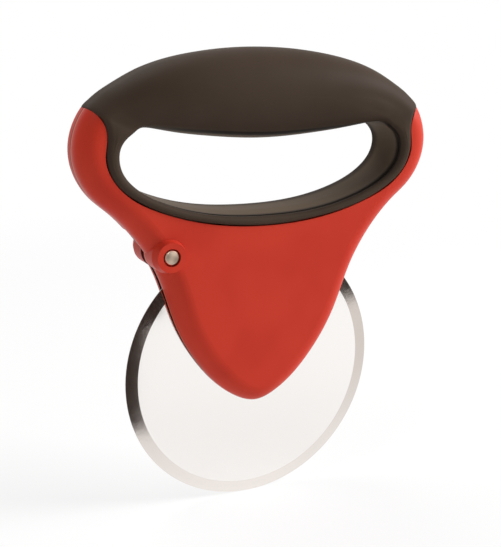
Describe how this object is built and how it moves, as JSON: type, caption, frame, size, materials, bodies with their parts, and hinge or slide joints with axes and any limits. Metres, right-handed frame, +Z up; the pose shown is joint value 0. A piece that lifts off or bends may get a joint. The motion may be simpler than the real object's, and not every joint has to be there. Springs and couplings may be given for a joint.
{
  "type": "pizza cutter wheel",
  "caption": "Pizza cutter: a steel wheel held between a red front lobe and a red rear cover that swings aside, under a ring handle with a soft dark grip.",
  "frame": {"origin": "where the wheel's edge meets the board, on the tool's middle plane", "axes": "+X to the right seen from the front, -Y to the front, +Z up along the handle"},
  "size_m": [0.1392, 0.0316, 0.1705],
  "materials": {
    "red_shell": "satin-gloss moulded plastic",
    "core_plastic": "moulded, plain",
    "soft_grip": "soft-touch elastomer, matt",
    "pin_steel": "turned",
    "spring_steel": "stamped",
    "screw_steel": "zinc plated",
    "wheel_steel": "polished, with a ground bevel",
    "hub_acetal": "moulded, plain",
    "washer_acetal": "moulded, plain"
  },
  "bodies": {
    "handle": {"front_shell": "red_shell", "rear_shell": "red_shell", "handle_core": "core_plastic", "grip": "soft_grip", "shell_screws": "screw_steel", "pivot_pin": "pin_steel", "pivot_washer": "washer_acetal", "pin_retainer": "spring_steel", "spring_washer": "spring_steel", "axle": "pin_steel"},
    "cover": {"swing_cover": "red_shell"},
    "wheel": {"cutting_wheel": "wheel_steel", "wheel_hub": "hub_acetal", "hub_ring": "hub_acetal"}
  },
  "joints": [
    {"name": "cover_swing", "type": "hinge", "parent": "handle", "child": "cover", "pos_m": [-0.038, 0, 0.0998], "axis": [0, 1, 0], "range_deg": [0, 110]},
    {"name": "wheel_spin", "type": "hinge", "parent": "handle", "child": "wheel", "pos_m": [0, 0, 0.0508], "axis": [0, 1, 0], "continuous": true}
  ]
}
